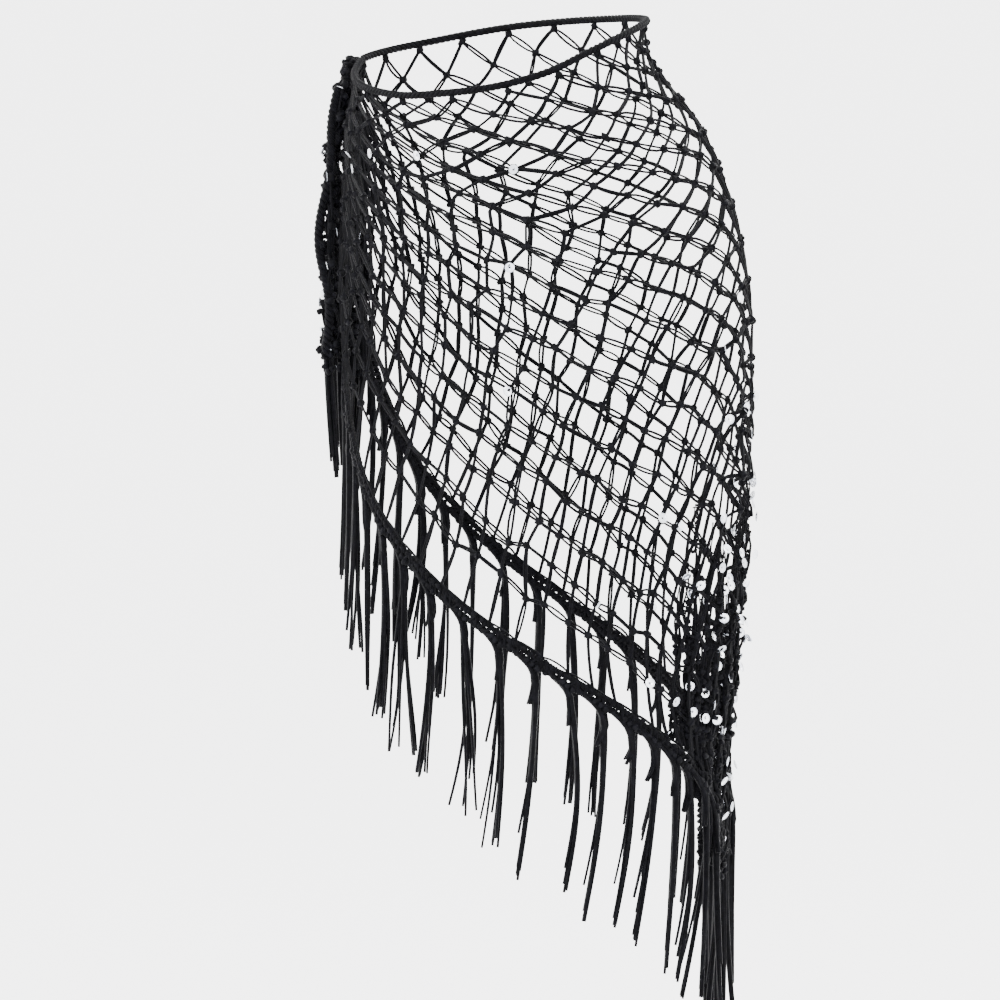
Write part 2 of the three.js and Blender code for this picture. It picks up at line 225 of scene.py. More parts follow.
# Laid through a hanging corner: two cord ends (turns, phase, depth) and the border's end
CORD_ENDS = ((5.2, 0, 4.0), (3.7, 2, -6.0))
CORD_PATH = {"across": 0.44, "along": 0.93, "depth_turns": 3.1, "points": 260}
EDGE_PATH = {"across": 0.42, "wave": 0.05, "wave_turns": 9, "along": 0.95, "out": 2, "out_turns": 14}
TRIM_LUMPS = {"count": 170, "middle": -2, "uneven": 4, "deepest": -8, "highest": 3, "higher_up": 0.9}
TRIM_LUMP_PLACE = {"across": (0.04, 0.96), "half_sizes": (1.8, 3.3)}

# Tassels of a hanging corner: along it, across it, length
CORNER_TASSELS = (
    (0.3, 0.02, 120), (0.42, 0.96, 115), (0.55, 0.04, 112), (0.66, 0.95, 108), (0.78, 0.08, 100),
    (0.86, 0.9, 92), (0.93, 0.25, 84), (0.95, 0.75, 80), (0.97, 0.5, 82),
)
CORNER_TASSEL = {"count": 8, "girth": 2.0, "points": 12, "thicker": 0.9}
CORNER_SPLAY = (0.5, 2.0)
CORNER_TASSEL_TOP = {"drop": 6.0, "points": 4}
CORNER_TASSELS_MEET = {"height": -300.0, "share": 0.35}

# Sequins that show on the front: row, cell
FRONT_SEQUINS = [(12, 14), (13, 12), (14, 9), (6, 14), (5, 8), (5, 7), (1, 11), (1, 9), (2, 13)]
SEQUIN_RADIUS = 3.7
SEQUIN_PROFILE = (
    (0.7, 0.0), (2.3, 0.12), (SEQUIN_RADIUS, 0.75), (SEQUIN_RADIUS, 0.95), (2.3, 0.34), (0.7, 0.22),
)
SEQUIN_HANG = {"out": 3.2, "stray": 1.0, "tilt": 0.38, "around": 14}
SILVER, CLEAR = 0, 1
SILVER_SHARE = 0.6

# The chance of a sequin on a mesh knot: near the tie, in the falls, elsewhere, in a hanging corner
SEQUIN_ODDS = {"near_knot": 0.12, "falls": 0.5, "elsewhere": 0.015, "corner": 0.4}
NEAR_KNOT = {"reach": 0.8, "rows": 13}
IN_FALLS = {"degrees": 26, "rows": 12}

# Looks: yarns differ in tone, twist and gloss, and sequins in tint and clearness
YARNS = {
    "net_yarn": {
        "dark": (0.0007, 0.0007, 0.001), "light": (0.003, 0.003, 0.0045), "twist": 1.6, "roughness": 0.6,
    },
    "cord_yarn": {
        "dark": (0.0006, 0.0006, 0.0009), "light": (0.0026, 0.0026, 0.0038), "twist": 0.9, "roughness": 0.65,
    },
    "tassel_yarn": {
        "dark": (0.0006, 0.0006, 0.001), "light": (0.003, 0.003, 0.0045), "twist": 1.2, "roughness": 0.5,
    },
}
DYE = {"scale": 260, "detail": 3, "dark_at": 0.35, "light_at": 0.72}
PLY_BUMPS = {"lean": -28, "around": 3.0, "wobble": 1.5}
FUZZ = {"scale": 2600, "share": 0.6}
BUMP = {"strength": 0.6, "distance": 0.0004}
YARN_GLOSS = {"Sheen Weight": 0.01, "Sheen Roughness": 0.4, "Specular IOR Level": 0.04}
SEQUINS = {
    "silver_sequin": {
        "pale": (0.9, 0.92, 0.96), "deep": (0.55, 0.58, 0.66), "metal": 0.9, "roughness": 0.16, "alpha": 1.0,
    },
    "clear_sequin": {
        "pale": (0.93, 0.95, 0.98), "deep": (0.75, 0.8, 0.88), "metal": 0.0, "roughness": 0.08, "alpha": 0.45,
    },
}
SEQUIN_TINT = {"scale": 90, "deep_at": 0.38, "pale_at": 0.62}
SEQUIN_COAT = 0.5

# The picture, in metres: seen from the front and the wearer's left, a little above, from far off
CAMERA = {"azimuth": 38, "elevation": 5, "distance": 5.0, "target": (-0.001, -0.001, -0.332)}
VIEW_WIDTH = 0.75
SENSOR = 36
FAR_CLIP = 200
FLOOR = {"size": 300, "height": -1.02, "grain": 4, "roughness": 0.9}
FLOOR_TONES = ((0.93, 0.93, 0.94), (0.96, 0.96, 0.965))
WORLD_LIGHT = 5.0
LIGHT_TARGET = (0, 0, -0.35)
# A light: name, place, size, power
LIGHTS = (
    ("key", (1.6, -2.4, 1.6), 1.4, 90),
    ("fill", (-2.0, -1.6, 0.6), 1.6, 40),
    ("rim", (0.6, 2.4, 1.2), 1.2, 40),
)


# ---------------- the drape

def read(table, column, at):
    """A smooth curve through one column of a table, the same as the CAD source's."""
    x_all, y_all = table[:, 0], table[:, column]
    last = len(x_all) - 1
    x = np.clip(np.asarray(at, float), x_all[0], x_all[last])
    k = np.clip(np.searchsorted(x_all, x, side="left") - 1, 0, last - 1)
    step = x_all[k + 1] - x_all[k]
    t = (x - x_all[k]) / step
    before, after = np.maximum(k - 1, 0), np.minimum(k + 2, last)
    rise0 = (y_all[k + 1] - y_all[before]) / (x_all[k + 1] - x_all[before]) * step
    rise1 = (y_all[after] - y_all[k]) / (x_all[after] - x_all[k]) * step
    y0, y1 = y_all[k], y_all[k + 1]
    bend = 2 * (y0 - y1) + rise0 + rise1
    return y0 + t * (rise0 + t * (y1 - y0 - rise0 - bend + t * bend))


def ramp(start, end, x):
    """A smooth step, from 0 at the start to 1 at the end."""
    t = np.clip((np.asarray(x, float) - start) / (end - start), 0, 1)
    return t * t * (3 - 2 * t)


def unit(v):
    """The same directions, each of length 1."""
    return v / np.maximum(np.linalg.norm(v, axis=-1, keepdims=True), TINY)


def place(angle, height, out):
    """Points at these angles and heights, this far out from the figure."""
    angle, height, out = np.broadcast_arrays(np.asarray(angle, float), height, out)
    turn = np.radians(angle)
    x = read(FIGURE, LEAN, height) + (read(FIGURE, HALF_WIDTH, height) + out) * np.sin(turn)
    y = -(read(FIGURE, HALF_DEPTH, height) + out) * np.cos(turn)
    return np.stack([x, y, height], axis=-1)


def outward(angle, height):
    """The direction out of the figure at these angles and heights."""
    return unit(place(angle, height, 1.0) - place(angle, height, 0.0))


def cells_in_row(row):
    """Net cells from the hanging point to the cord or the knot."""
    row = np.asarray(row, float)
    gathered = KNOT_ROW_CELLS + (KNOT_ROW - row) * (HEM_CELLS - KNOT_ROW_CELLS) / KNOT_ROW
    return np.where(row >= KNOT_ROW, 2 * (TOP_ROW - row), gathered)


def last_cell(row):
    """The last whole cell of a row."""
    return int(math.floor(float(cells_in_row(row)) + TINY))


def span_of(side):
    return FRONT_SPAN if side > 0 else BACK_SPAN


def drape(side, reach, row):
    """The angle and the height of the net at this reach along this row."""
    reach, row = np.broadcast_arrays(np.asarray(reach, float), np.asarray(row, float))
    share = np.where(row < KNOT_ROW, 1.0, (TOP_ROW - row) / (TOP_ROW - KNOT_ROW))
    late = LAG["per_row"] * row + LAG["at_hem"]
    bunch = HEM_BUNCH["share"] * np.exp(-row / HEM_BUNCH["rows"])
    even = reach - late * np.sin(np.pi * reach) - bunch * np.sin(2 * np.pi * reach)
    angle = POINT_ANGLE - side * span_of(side) * share * even
    end_angle = POINT_ANGLE - side * span_of(side) * share
    end_height = np.where(
        row < KNOT_ROW,
        KNOT_GATHER["top"] - (KNOT_ROW - row) * KNOT_GATHER["per_row"],
        read(WAIST_LINE, 1, end_angle) - BELOW_CORD,
    )
    below = TOP_ROW - row
    low = read(WAIST_LINE, 1, POINT_ANGLE) - BELOW_CORD
    low = low - below * (DROP["per_row"] + DROP["growing"] * below)
    slope = CLIMB["even"] - CLIMB["less_at_hem"] * np.exp(-row)
    climbed = slope * reach + (1 - slope) * reach ** CLIMB["power"]
    sag = LOOSE["depth"] * below * row * np.maximum(0, 1 - reach / LOOSE["reach"]) ** 2
    return angle, low + (end_height - low) * climbed - sag


def fold_out(side, reach, row, angle, height):
    """How far the folds stand out: upright ones at the left hip, and those into the knot."""
    away = np.abs(angle - POINT_ANGLE) + (0 if side > 0 else BACK_FOLD_SHIFT)
    out = 0.0
    for centre, rise, width, start in FALL_FOLDS:
        crest = np.exp(-(((away - centre) / width) ** 2))
        out = out + rise * crest * ramp(start, start - FOLD_FADE_IN, height)
    comes_in = ramp(KNOT_FOLD_REACH["starts"], KNOT_FOLD_REACH["full"], reach)
    dies_away = ramp(KNOT_FOLD_REACH["gone"], KNOT_FOLD_REACH["fades"], reach)
    for centre, rise, width in KNOT_FOLDS:
        crest = np.exp(-(((row - centre) / width) ** 2))
        out = out + rise * crest * comes_in * dies_away
    return out


def knot_frame():
    """The knot's centre, and the directions out of the figure and across it."""
    centre = place(KNOT_ANGLE, KNOT["height"], KNOT["out"])
    out = place(KNOT_ANGLE, KNOT["height"], KNOT["out"] + 1) - centre
    out /= np.linalg.norm(out)
    return centre, out, np.array([-out[1], out[0], 0.0])


def net_point(side, cell, row, lift=0.0):
    """Points on the net at these cells and rows, lifted off it by so much."""
    reach = np.asarray(cell, float) / np.maximum(cells_in_row(row), TINY)
    reach = np.clip(reach, 0, 1)
    angle, height = drape(side, reach, row)
    out = NET_OUT + fold_out(side, reach, row, angle, height) + lift
    points = place(angle, height, out)
    centre, away_from_figure, _ = knot_frame()
    throat = centre - away_from_figure * THROAT["inward"] - UP * (KNOT["half_height"] * THROAT["down"])
    into_knot = np.asarray(row, float) < KNOT_ROW - 0.5
    pull = (ramp(THROAT["from_reach"], 1.0, reach) * into_knot * THROAT["pull"])[..., None]
    return points * (1 - pull) + throat * pull


# ---------------- meshes

class Bag:
    """Vertices and faces gathered for one object."""

    def __init__(self):
        self.points = []
        self.faces = []
        self.uvs = []
        self.slots = []
        self.count = 0

    def add_faces(self, faces, uvs=None, slot=0):
        """Faces whose corners count from the bag's first point."""
        self.faces.append(faces)
        self.uvs.append(np.zeros(faces.shape + (2,)) if uvs is None else uvs)
        self.slots.append(np.full(len(faces), slot))

    def add(self, points, faces, uvs=None, slot=0):
        """Points, and faces whose corners count from the first of them."""
        self.add_faces(faces + self.count, uvs, slot)
        self.points.append(points.reshape(-1, 3))
        self.count += len(self.points[-1])

    def build(self, name, materials):
        mesh = bpy.data.meshes.new(name)
        corners = np.concatenate([f.ravel() for f in self.faces])
        sizes = np.concatenate([np.full(len(f), f.shape[1]) for f in self.faces])
        starts = np.concatenate([[0], np.cumsum(sizes)[:-1]])
        mesh.vertices.add(self.count)
        mesh.vertices.foreach_set("co", (np.concatenate(self.points) * MM).ravel())
        mesh.loops.add(len(corners))
        mesh.loops.foreach_set("vertex_index", corners)
        mesh.polygons.add(len(sizes))
        mesh.polygons.foreach_set("loop_start", starts)
        mesh.polygons.foreach_set("material_index", np.concatenate(self.slots))
        mesh.polygons.foreach_set("use_smooth", np.ones(len(sizes), bool))
        layer = mesh.uv_layers.new(name="UVMap")
        layer.data.foreach_set("uv", np.concatenate([u.reshape(-1, 2) for u in self.uvs]).ravel())
        mesh.update(calc_edges=True)
        mesh.validate()
        for material in materials:
            mesh.materials.append(material)
        made = bpy.data.objects.new(name, mesh)
        bpy.context.collection.objects.link(made)
        return made


# A tube's section is laid out from the vertical, or from the level where its path is steep
STEEP = 0.8
LEVEL = np.array([1.0, 0.2, 0.0])

# How rough a lump is, and its smallest and largest radius
LUMP = {"rough": 0.14, "least": 0.72, "most": 1.3}


def run_along(paths):
    """How far along its path each point lies."""
    steps = np.linalg.norm(np.diff(paths, axis=-2), axis=-1)
    return np.concatenate([np.zeros(steps.shape[:-1] + (1,)), np.cumsum(steps, axis=-1)], axis=-1)


def tubes(bag, paths, radius, sides=5, closed_ends=False):
    """Round yarn along each path; paths is (how many, points, 3)."""
    many, length = paths.shape[:2]
    radius = np.broadcast_to(np.asarray(radius, float), (many, length))
    tangent = unit(np.gradient(paths, axis=1))
    mean = unit(tangent.mean(axis=1, keepdims=True))
    guide = np.where(np.abs(mean[..., 2:]) > STEEP, LEVEL, UP)
    across = unit(np.cross(tangent, guide))
    over = np.cross(tangent, across)
    turn = 2 * np.pi * np.arange(sides) / sides
    ring = np.cos(turn)[:, None] * across[:, :, None] + np.sin(turn)[:, None] * over[:, :, None]
    points = paths[:, :, None] + radius[:, :, None, None] * ring
    first = np.arange(many)[:, None, None] * length * sides
    base = first + (np.arange(length - 1) * sides)[None, :, None]
    k = np.arange(sides)[None, None, :]
    after = (k + 1) % sides
    faces = np.stack([base + k, base + after, base + sides + after, base + sides + k], axis=-1)
    run = run_along(paths)
    u0 = np.broadcast_to(run[:, :-1, None], (many, length - 1, sides))
    u1 = np.broadcast_to(run[:, 1:, None], (many, length - 1, sides))
    v0 = np.broadcast_to(k / sides, u0.shape)
    v1 = v0 + 1 / sides
    uvs = np.stack([np.stack(c, -1) for c in ((u0, v0), (u0, v1), (u1, v1), (u1, v0))], axis=-2)
    start = bag.count
    bag.add(points, faces.reshape(-1, 4), uvs.reshape(-1, 4, 2))
    if closed_ends:
        near = start + first[:, 0] + np.arange(sides)[::-1]
        far = start + first[:, 0] + (length - 1) * sides + np.arange(sides)
        bag.add_faces(np.concatenate([near, far]))


def ball():
    """A round ball's points and faces, of radius 1."""
    made = bmesh.new()
    bmesh.ops.create_icosphere(made, subdivisions=2, radius=1.0)
    points = np.array([v.co for v in made.verts])
    faces = np.array([[v.index for v in f.verts] for f in made.faces])
    made.free()
    return points, faces


BALL_POINTS, BALL_FACES = ball()


def lumps(bag, centres, half_sizes, rng, axes=None):
    """Lumpy balls at the centres; half_sizes is (how many, 3), along axes of (how many, 3, 3)."""
    many = len(centres)
    if axes is None:
        axes = np.tile(np.eye(3), (many, 1, 1))
    rough = 1 + LUMP["rough"] * rng.standard_normal((many, len(BALL_POINTS)))
    rough = np.clip(rough, LUMP["least"], LUMP["most"])
    local = BALL_POINTS[None] * rough[..., None] * half_sizes[:, None, :]
    points = centres[:, None] + np.einsum("npk,nkc->npc", local, axes)
    faces = BALL_FACES[None] + (np.arange(many) * len(BALL_POINTS))[:, None, None]
    bag.add(points, faces.reshape(-1, 3))


def rings(bag, centres, axes, radius, thick, around=9, sides=4):
    """One turn of yarn round each centre, about its first axis."""
    many = len(centres)
    turn = 2 * np.pi * np.arange(around) / around
    tube = 2 * np.pi * np.arange(sides) / sides
    radial = np.cos(turn)[:, None] * np.array([0, 1, 0]) + np.sin(turn)[:, None] * np.array([0, 0, 1])
    reach = radius[:, None, None] + thick * np.cos(tube)[None, None, :]
    local = reach[..., None] * radial[None, :, None]
    local[..., 0] = thick * np.sin(tube)[None, None, :]
    points = centres[:, None, None] + np.einsum("nask,nkc->nasc", local, axes)
    a = np.arange(around)[:, None]
    s = np.arange(sides)[None]

    def index(i, j):
        return (i % around) * sides + (j % sides)

    quad = np.stack([index(a, s), index(a + 1, s), index(a + 1, s + 1), index(a, s + 1)], axis=-1)
    faces = quad.reshape(-1, 4)[None] + (np.arange(many) * around * sides)[:, None, None]
    bag.add(points, faces.reshape(-1, 4))


# ---------------- materials

def new_material(name):
    material = bpy.data.materials.new(name)
    material.use_nodes = True
    shader = material.node_tree.nodes["Principled BSDF"]
    return material, material.node_tree, shader


def wandering_tone(tree, coordinates, scale, first, second, detail=2.0):
    """A colour that wanders between two tones; first and second are (position, colour)."""
    nodes, link = tree.nodes, tree.links.new
    where = nodes.new("ShaderNodeTexCoord")
    patches = nodes.new("ShaderNodeTexNoise")
    patches.inputs["Scale"].default_value = scale
    patches.inputs["Detail"].default_value = detail
    link(where.outputs[coordinates], patches.inputs["Vector"])
    tone = nodes.new("ShaderNodeValToRGB")
    for element, (position, colour) in zip(tone.color_ramp.elements, (first, second)):
        element.position = position
        element.color = (*colour, 1)
    link(patches.outputs["Fac"], tone.inputs["Fac"])
    return tone.outputs["Color"]


def yarn_bumps(tree, twist):
    """Plies that wind round the yarn, and fine fuzz."""
    nodes, link = tree.nodes, tree.links.new
    where = nodes.new("ShaderNodeTexCoord")
    turn = nodes.new("ShaderNodeMapping")
    turn.inputs["Rotation"].default_value = (0, 0, math.radians(PLY_BUMPS["lean"]))
    turn.inputs["Scale"].default_value = (twist, PLY_BUMPS["around"], 1)
    link(where.outputs["UV"], turn.inputs["Vector"])
    plies = nodes.new("ShaderNodeTexWave")
    plies.inputs["Scale"].default_value = 1.0
    plies.inputs["Distortion"].default_value = PLY_BUMPS["wobble"]
    link(turn.outputs["Vector"], plies.inputs["Vector"])
    fuzz = nodes.new("ShaderNodeTexNoise")
    fuzz.inputs["Scale"].default_value = FUZZ["scale"]
    link(where.outputs["Object"], fuzz.inputs["Vector"])
    both = nodes.new("ShaderNodeMath")
    both.operation = "MULTIPLY_ADD"
    both.inputs[1].default_value = FUZZ["share"]
    link(fuzz.outputs["Fac"], both.inputs[0])
    link(plies.outputs["Fac"], both.inputs[2])
    bump = nodes.new("ShaderNodeBump")
    bump.inputs["Strength"].default_value = BUMP["strength"]
    bump.inputs["Distance"].default_value = BUMP["distance"]
    link(both.outputs["Value"], bump.inputs["Height"])
    return bump.outputs["Normal"]


def yarn_material(name, dark, light, twist, roughness):
    """Spun black yarn, slightly unevenly dyed."""
    material, tree, shader = new_material(name)
    link = tree.links.new
    dark_end, light_end = (DYE["dark_at"], dark), (DYE["light_at"], light)
    dye = wandering_tone(tree, "Object", DYE["scale"], dark_end, light_end, DYE["detail"])
    link(dye, shader.inputs["Base Color"])
    link(yarn_bumps(tree, twist), shader.inputs["Normal"])
    shader.inputs["Roughness"].default_value = roughness
    for setting, value in YARN_GLOSS.items():
        shader.inputs[setting].default_value = value
    return material


def sequin_material(name, pale, deep, metal, roughness, alpha):
    """Glossy sequins, each a little different in tint."""
    material, tree, shader = new_material(name)
    deep_end, pale_end = (SEQUIN_TINT["deep_at"], deep), (SEQUIN_TINT["pale_at"], pale)
    tint = wandering_tone(tree, "Object", SEQUIN_TINT["scale"], deep_end, pale_end)
    tree.links.new(tint, shader.inputs["Base Color"])
    shader.inputs["Metallic"].default_value = metal
    shader.inputs["Roughness"].default_value = roughness
    shader.inputs["Alpha"].default_value = alpha
    shader.inputs["Coat Weight"].default_value = SEQUIN_COAT
    return material


# ---------------- the net

def stray(rng, usual, most, many):
    """Random shifts with a limit."""
    return np.clip(rng.normal(0, usual, many), -most, most)


class HalfNet:
    """The cells of the front or the back half of the net, and where its mesh knots lie."""

    def __init__(self, side, rng):
        self.side = side
        self.rng = rng
        grid = [(row, cell) for row in range(TOP_ROW + 1) for cell in range(last_cell(row) + 1)]
        many = len(grid)
        self.index = {key: n for n, key in enumerate(grid)}
        self.row, self.cell = np.array(grid).T
        count = cells_in_row(self.row)
        inner = (self.cell > 0) & (self.row > 0) & (self.cell < count - 0.01)
        self.row_at = self.row + inner * stray(rng, *ROW_STRAY, many)
        self.cell_at = self.cell + inner * stray(rng, *CELL_STRAY, many)
        self.reach = self.cell / np.maximum(count, 1)
        self.away = np.abs(drape(side, self.reach, self.row)[0] - POINT_ANGLE)
        slack = inner * (ramp(*SLACK["degrees"], self.away) * ramp(*SLACK["rows"], self.row))
        wave = SLACK_WAVE["out"] * np.cos(self.cell * SLACK_WAVE["per_cell"] + side) - SLACK_WAVE["inward"]
        self.lift = slack * (wave + rng.normal(0, SLACK_WAVE["uneven"], many))
        self.row_at = self.row_at + slack * rng.normal(0, SLACK["row_stray"], many)
        self.cell_at = np.maximum(self.cell_at + slack * rng.normal(0, SLACK["cell_stray"], many), 0)
        self.at = net_point(side, self.cell_at, self.row_at, self.lift)
        self.out = unit(net_point(side, self.cell_at, self.row_at, self.lift + 1.0) - self.at)

    def links(self):
        """Pairs of neighbouring mesh knots: along the rows, then up the columns."""
        along, up = [], []
        for (row, cell), n in self.index.items():
            if (row, cell + 1) in self.index:
                along.append((n, self.index[(row, cell + 1)]))
            if cell > 0 and (row + 1, cell - 1) in self.index:
                up.append((n, self.index[(row + 1, cell - 1)]))
        return np.array(along), np.array(up)

    def row_ends(self):
        """The threads from each low row's last mesh knot on into the tied knot."""
        t = np.linspace(0, 1, THREAD["points"])
        paths = []
        for row in range(KNOT_ROW):
            n = self.index[(row, last_cell(row))]
            cell = self.cell_at[n] * (1 - t) + float(cells_in_row(row)) * t
            middle = net_point(self.side, cell, np.full(THREAD["points"], self.row_at[n]))
            for offset in (-ROW_END_SPREAD, ROW_END_SPREAD):
                paths.append(middle + self.out[n] * offset)
        return np.array(paths)

    def thread_paths(self, pairs):
        """The surface under each link, the sideways and outward directions, and the way along it."""
        t = np.linspace(0, 1, THREAD["points"])[None, :]
        a, b = pairs[:, 0], pairs[:, 1]
        row = self.row_at[a][:, None] * (1 - t) + self.row_at[b][:, None] * t
        cell = self.cell_at[a][:, None] * (1 - t) + self.cell_at[b][:, None] * t
        lift = self.lift[a][:, None] * (1 - t) + self.lift[b][:, None] * t
        middle = net_point(self.side, cell, row, lift)
        out = unit(net_point(self.side, cell, row, lift + 1.0) - middle)
        along = unit(np.gradient(middle, axis=1))
        return middle, unit(np.cross(out, along)), out, t


def add_threads(bag, net, pairs, spread, radius, single):
    """Two parallel threads between each pair of mesh knots, or one that has closed up."""
    rng = net.rng
    middle, sideways, out, t = net.thread_paths(pairs)
    many = len(pairs)
    belly = np.sin(np.pi * t)[..., None] ** THREAD["swell"]
    is_open = rng.random(many) > single
    apart = np.where(is_open, rng.uniform(*THREAD["open"], many), THREAD["closed"]) * spread
    apart = apart[:, None, None]
    lean = rng.normal(0, THREAD_STRAY["lean"], (many, 1, 1))
    paths = []
    for beside in (-1, 1):
        bend = rng.normal(0, THREAD_STRAY["bend"], (many, 1, 1))
        shift = beside * (THREAD["at_knot"] + apart * belly) + (lean + bend) * belly
        rise = rng.normal(0, THREAD_STRAY["rise"], (many, 1, 1)) * belly
        paths.append(middle + sideways * shift + out * rise)
    tubes(bag, np.concatenate(paths), radius * rng.uniform(*THREAD_UNEVEN, (2 * many, 1)))


def add_mesh_knots(bag, net, chosen):
    """A crocheted knot at each chosen crossing: a lump with a turn of yarn round it."""
    rng = net.rng
    centres, out = net.at[chosen], net.out[chosen]
    many = len(centres)
    turn = rng.normal(*MESH_KNOT["lean"], many)[:, None]
    side = unit(np.cross(np.tile(UP, (many, 1)), out))
    first = np.cos(turn) * side + np.sin(turn) * np.cross(out, side)
    axes = np.stack([first, np.cross(out, first), out], axis=1)
    half_sizes = np.stack([rng.uniform(*sizes, many) for sizes in MESH_KNOT["half_sizes"]], axis=1)
    lumps(bag, centres, half_sizes, rng, axes)
    rings(bag, centres, axes, rng.uniform(*MESH_KNOT_TURN["radius"], many), MESH_KNOT_TURN["yarn"])


def make_net(side, name, materials, rng):
    """Half of the net; the front half has the mesh knots on the line where the halves meet."""
    net = HalfNet(side, rng)
    bag = Bag()
    along, up = net.links()
    add_threads(bag, net, along, **ROW_THREADS)
    add_threads(bag, net, up, **COLUMN_THREADS)
    tubes(bag, net.row_ends(), ROW_THREADS["radius"])
    has_knot = (net.row > 0) & (net.reach < MESH_KNOTS_STOP) | (net.row >= KNOT_ROW)
    if side < 0:
        has_knot &= net.cell > 0
    add_mesh_knots(bag, net, np.nonzero(has_knot)[0])
    return bag.build(name, materials), net


def wander(height, size, lengths, rng):
    """An uneven sway down a rope: waves of these lengths, each begun anywhere."""
    return sum(size * np.sin(height / length + rng.uniform(0, 2 * np.pi)) for length in lengths)


def fall_heights(side, away, rng):
    """The heights down one rope, and that of the hem which it reaches."""
    reach = np.linspace(0, FALL_AT_HEM["reach"], FALL_AT_HEM["points"])
    hem_angle, hem_height = drape(side, reach, 0)
    hem = np.interp(away, np.abs(hem_angle - POINT_ANGLE), hem_height)
    top = FALL_TOP["height"] - FALL_TOP["lower_per_degree"] * away + rng.normal(0, FALL_TOP["uneven"])
    if away > FALL_AT_HEM["beyond_degrees"]:
        low = hem + FALL_AT_HEM["above"]
    else:
        low = FALL_END["height"] + rng.uniform(0, FALL_END["uneven"])
    return np.linspace(low, top, FALL_YARN["points"]), hem


def make_falls(name, materials, rng):
    """Cells pulled shut by the hanging corner's weight: ropes of yarns and mesh knots.

    Also returns places and outward directions for the sequins that show in them.
    """
    bag = Bag()
    shown, shown_out = [], []
    for side, away in FALLS:
        height, hem = fall_heights(side, away, rng)
        gathers = ramp(hem + FALL_END["closes_above_hem"], FALL_END["height"], height)
        closer = 1 - (1 - FALL_END["closer"]) * gathers
        angle = POINT_ANGLE - side * (away * closer + wander(height, **FALL_SWAY, rng=rng))
        wave = FALL_DEPTH["wave"] * np.cos(FALL_DEPTH["per_degree"] * away)
        out = NET_OUT - FALL_DEPTH["inward"] + fold_out(side, 0.0, 0.0, angle, height) + wave
        yarns = []
        for _ in range(FALL_YARN["count"]):
            yarn_angle = angle + wander(height, **YARN_SWAY, rng=rng)
            yarns.append(place(yarn_angle, height, out + wander(height, **YARN_DEPTH, rng=rng)))
        thick_from = height[-1] - FALL_THINS["over"]
        thins = FALL_THINS["to"] + (1 - FALL_THINS["to"]) * ramp(height[-1], thick_from, height)
        radius = thins * rng.uniform(*FALL_YARN["radius"], (FALL_YARN["count"], 1))
        tubes(bag, np.array(yarns), radius, closed_ends=True)
        many = int((height[-1] - height[0]) / FALL_LUMPS["apart"])
        spots = rng.integers(0, len(height), many)
        lump_angle = angle[spots] + rng.normal(0, FALL_LUMPS["beside"], many)
        lump_out = out[spots] + rng.normal(0, FALL_LUMPS["out"], many)
        centres = place(lump_angle, height[spots], lump_out)
        half_sizes = thins[spots, None] * rng.uniform(*FALL_LUMPS["half_sizes"], (many, 3))
        lumps(bag, centres, half_sizes, rng)
        every = FALL_LUMPS["to_a_sequin"]
        shown.append(centres[::every])
        shown_out.append(outward(angle[spots], height[spots])[::every])
    return bag.build(name, materials), np.concatenate(shown), np.concatenate(shown_out)


# ---------------- cord and border

def twisted(bag, centre, across, out, cord):
    """Plies of yarn twisted round a path."""
    run = run_along(centre)
    paths = []
    for ply in range(PLIES):
        turn = 2 * np.pi * (run / cord["pitch"] + ply / PLIES)
        paths.append(centre + cord["lay"] * (np.cos(turn)[:, None] * across + np.sin(turn)[:, None] * out))
    tubes(bag, np.array(paths), cord["ply"], sides=6, closed_ends=True)


def make_waist_cord(side, name, materials):
    angle = np.linspace(POINT_ANGLE, POINT_ANGLE - side * span_of(side), CORD_POINTS)
    height = read(WAIST_LINE, 1, angle)
    centre = place(angle, height, CORD_OUT)
    out = unit(place(angle, height, CORD_OUT + 1) - centre)
    bag = Bag()
    twisted(bag, centre, np.tile(UP, (len(angle), 1)), out, WAIST_CORD)
    return bag.build(name, materials)


def hem_line(side, reach):
    """Points on the hem, the direction off the net, the direction out, and the run along it."""
    hem_row = np.zeros_like(reach)
    cell = reach * float(HEM_CELLS)
    middle = net_point(side, cell, hem_row)
    above = net_point(side, cell, hem_row + HEM_LOOK_UP)
    lifted = net_point(side, cell, hem_row, 1.0)
    along = unit(np.gradient(middle, axis=0))
    out = unit(lifted - middle)
    off = unit(np.cross(along, out))
    flip = np.sign(np.sum(off * (above - middle), axis=1, keepdims=True))
    off = -off * np.where(flip == 0, 1, flip)
    return middle, off, out, run_along(middle)


def along_hem(hem, at, off_by=0.0, out_by=0.0):
    """Points at these runs along the hem, moved off the net and outwards."""
    middle, off, out, run = hem

    def pick(v):
        return np.stack([np.interp(at, run, v[:, axis]) for axis in range(3)], axis=-1)

    moved = pick(middle) + pick(off) * np.asarray(off_by)[..., None]
    return moved + pick(out) * np.asarray(out_by)[..., None]


def add_border_edges(bag, hem):
    """Two thick crocheted edges, each of two plies."""
    at = np.linspace(0, hem[3][-1], EDGE_YARN["points"])
    paths = []
    for edge, phase in BORDER_EDGES:
        for ply in (0, np.pi):
            turn = 2 * np.pi * at / EDGE_YARN["pitch"] + phase + ply
            waves = (size * np.sin(at / length + times * phase) for size, length, times in EDGE_WAVES)
            off_by = edge + sum(waves) + EDGE_YARN["lay"] * np.cos(turn)
            paths.append(along_hem(hem, at, off_by, EDGE_YARN["lay"] * np.sin(turn)))
    tubes(bag, np.array(paths), EDGE_YARN["radius"], sides=6, closed_ends=True)


